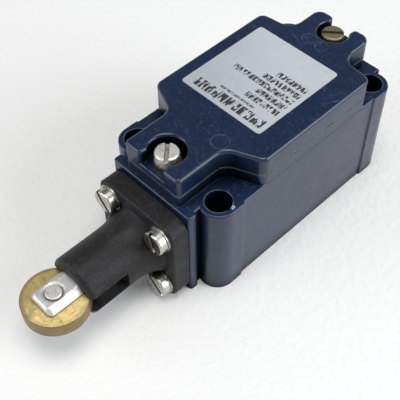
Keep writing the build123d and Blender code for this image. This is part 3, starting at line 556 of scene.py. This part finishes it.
MATERIALS = {
    "navy_paint": navy_paint(),
    "gasket_rubber": gasket_rubber(),
    "seal_rubber": seal_rubber(),
    "black_plastic": black_plastic(),
    "label_film": label_film(),
    "red_fibre": red_fibre(),
    "roller_brass": roller_brass(),
    "nickel_steel": bare_metal("nickel_steel", *NICKEL),
    "zinc_steel": bare_metal("zinc_steel", *ZINC, yellowed=ZINC_YELLOWED, metallic=0.8),
    "bright_steel": bare_metal("bright_steel", *BRIGHT, metallic=0.75),
    "spring_steel": bare_metal("spring_steel", *SPRING),
    "bush_bronze": bare_metal("bush_bronze", *BRONZE),
    "contact_brass": bare_metal("contact_brass", *BRASS),
    "contact_silver": bare_metal("contact_silver", *SILVER),
    "block_moulding": moulded("block_moulding", *DARK_MOULDING),
    "carrier_plastic": moulded("carrier_plastic", *PALE_MOULDING),
}

# Each CAD node gets the material of its slot
for part in frame["record"]["subparts"]:
    NODES[part["node"]].material_slots[0].material = MATERIALS[part["material_slot"]]


# ------------------------------------------------------------------ springs

def helix_points(start, length, radius, turns):
    """Points along a spring's wire, wound about Y, with its first and last turn closed."""
    count = int(turns * STEPS_PER_TURN)
    closed = int(CLOSED_TURNS * STEPS_PER_TURN)
    for i in range(count + 1):
        share = min(max((i - closed) / (count - 2 * closed), 0.0), 1.0)
        angle = 2 * math.pi * i / STEPS_PER_TURN
        yield Vector((radius * math.cos(angle), start + length * share, radius * math.sin(angle)))


def wire_mesh(name, centres, radius):
    """A round wire with capped ends, swept along its centres."""
    mesh = bmesh.new()
    rings = []
    for i, centre in enumerate(centres):
        before = centres[max(i - 1, 0)]
        after = centres[min(i + 1, len(centres) - 1)]
        heading = (after - before).normalized()
        outward = Vector((centre.x, 0.0, centre.z)).normalized()
        side = heading.cross(outward).normalized()
        ring = []
        for j in range(WIRE_SIDES):
            angle = 2 * math.pi * j / WIRE_SIDES
            away = math.cos(angle) * outward + math.sin(angle) * side
            ring.append(mesh.verts.new(centre + radius * away))
        rings.append(ring)
    for before, after in zip(rings, rings[1:]):
        for j in range(WIRE_SIDES):
            k = (j + 1) % WIRE_SIDES
            mesh.faces.new((before[j], before[k], after[k], after[j]))
    mesh.faces.new(tuple(reversed(rings[0])))
    mesh.faces.new(tuple(rings[-1]))
    bmesh.ops.recalc_face_normals(mesh, faces=mesh.faces)
    for face in mesh.faces:
        face.smooth = len(face.verts) == 4
    data = bpy.data.meshes.new(name)
    mesh.to_mesh(data)
    mesh.free()
    return data


def add_spring(node, wire, turns):
    """A wound spring in the place of its CAD node."""
    low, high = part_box(node)
    middle = (low + high) / 2
    wire_m = wire * MM
    radius = (high.x - low.x) / 2 - wire_m
    start = low.y + wire_m
    length = high.y - low.y - 2 * wire_m
    centres = []
    for point in helix_points(start, length, radius, turns):
        centres.append(point + Vector((middle.x, 0.0, middle.z)))
    spring = bpy.data.objects.new(node + "_wound", wire_mesh(node + "_wound", centres, wire_m))
    bpy.context.scene.collection.objects.link(spring)
    spring.data.materials.append(MATERIALS["spring_steel"])
    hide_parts(node)
    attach(spring, "switch_body")
    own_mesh(spring)


for spring_node, (spring_joint, wire_radius, wire_turns, share_kept) in SPRINGS.items():
    add_spring(spring_node, wire_radius, wire_turns)


# ------------------------------------------------------------------ floor, light and camera

def floor_material():
    """Pale matt floor, slightly uneven in shade and surface."""
    shade, light, patch = (0.790, 0.774, 0.751), (0.825, 0.808, 0.785), (0.79, 0.78, 0.76)
    s = Shader("pale_floor")
    color = s.mix(s.noise(60.0, 4.0), shade, light)
    color = s.mix(s.step(s.noise(1.6, 5.0), 0.35, 0.75, 0.0, 0.5), color, patch)
    s.bump(s.noise(2.2, 5.0), 0.25)
    return s.done(color, 0.8, Specular_IOR_Level=0.2)


def add_floor():
    """The plane at height 0 that the part lies on."""
    bpy.ops.mesh.primitive_plane_add(size=FLOOR_SIZE, location=(0.0, 0.0, 0.0))
    floor = bpy.context.object
    floor.name = "floor"
    floor.data.materials.append(floor_material())


def add_light(name, place, size, power, color):
    """A round soft light that looks at the part."""
    data = bpy.data.lights.new(name, "AREA")
    data.shape = "DISK"
    data.size = size
    data.energy = power
    data.color = color
    light = bpy.data.objects.new(name, data)
    bpy.context.scene.collection.objects.link(light)
    light.location = place
    light.rotation_mode = "QUATERNION"
    light.rotation_quaternion = (-Vector(place)).to_track_quat("-Z", "Y")


def add_sky():
    """A studio that is bright round the horizon and dark overhead."""
    sky = bpy.data.worlds.new("studio")
    bpy.context.scene.world = sky
    sky.use_nodes = True
    tree = sky.node_tree
    direction = tree.nodes.new("ShaderNodeTexCoord")
    parts = tree.nodes.new("ShaderNodeSeparateXYZ")
    fade = tree.nodes.new("ShaderNodeMapRange")
    fade.interpolation_type = "SMOOTHSTEP"
    set_range(fade, SKY_FADE_FROM, SKY_FADE_TO, SKY_LOW_STRENGTH, SKY_HIGH_STRENGTH)
    tree.links.new(direction.outputs["Generated"], parts.inputs[0])
    tree.links.new(parts.outputs[2], fade.inputs["Value"])
    background = tree.nodes["Background"]
    background.inputs["Color"].default_value = SKY_COLOR
    tree.links.new(fade.outputs[0], background.inputs["Strength"])


def add_camera():
    """The camera, turned to its azimuth and elevation and rolled about its own axis."""
    azimuth = math.radians(CAMERA_AZIMUTH)
    elevation = math.radians(CAMERA_ELEVATION)
    level = math.cos(elevation)
    back = Vector((math.sin(azimuth) * level, -math.cos(azimuth) * level, math.sin(elevation)))
    data = bpy.data.cameras.new("camera")
    data.lens = CAMERA_LENS
    data.sensor_width = SENSOR_WIDTH
    camera = bpy.data.objects.new("camera", data)
    bpy.context.scene.collection.objects.link(camera)
    camera.location = Vector(CAMERA_PLACE) * MM
    camera.rotation_mode = "QUATERNION"
    roll = Quaternion((0.0, 0.0, 1.0), math.radians(CAMERA_ROLL))
    camera.rotation_quaternion = back.to_track_quat("Z", "Y") @ roll
    bpy.context.scene.camera = camera


add_floor()
for light_name, light_settings in LIGHTS.items():
    add_light(light_name, *light_settings)
add_sky()
add_camera()
bpy.context.scene.view_settings.view_transform = "Standard"
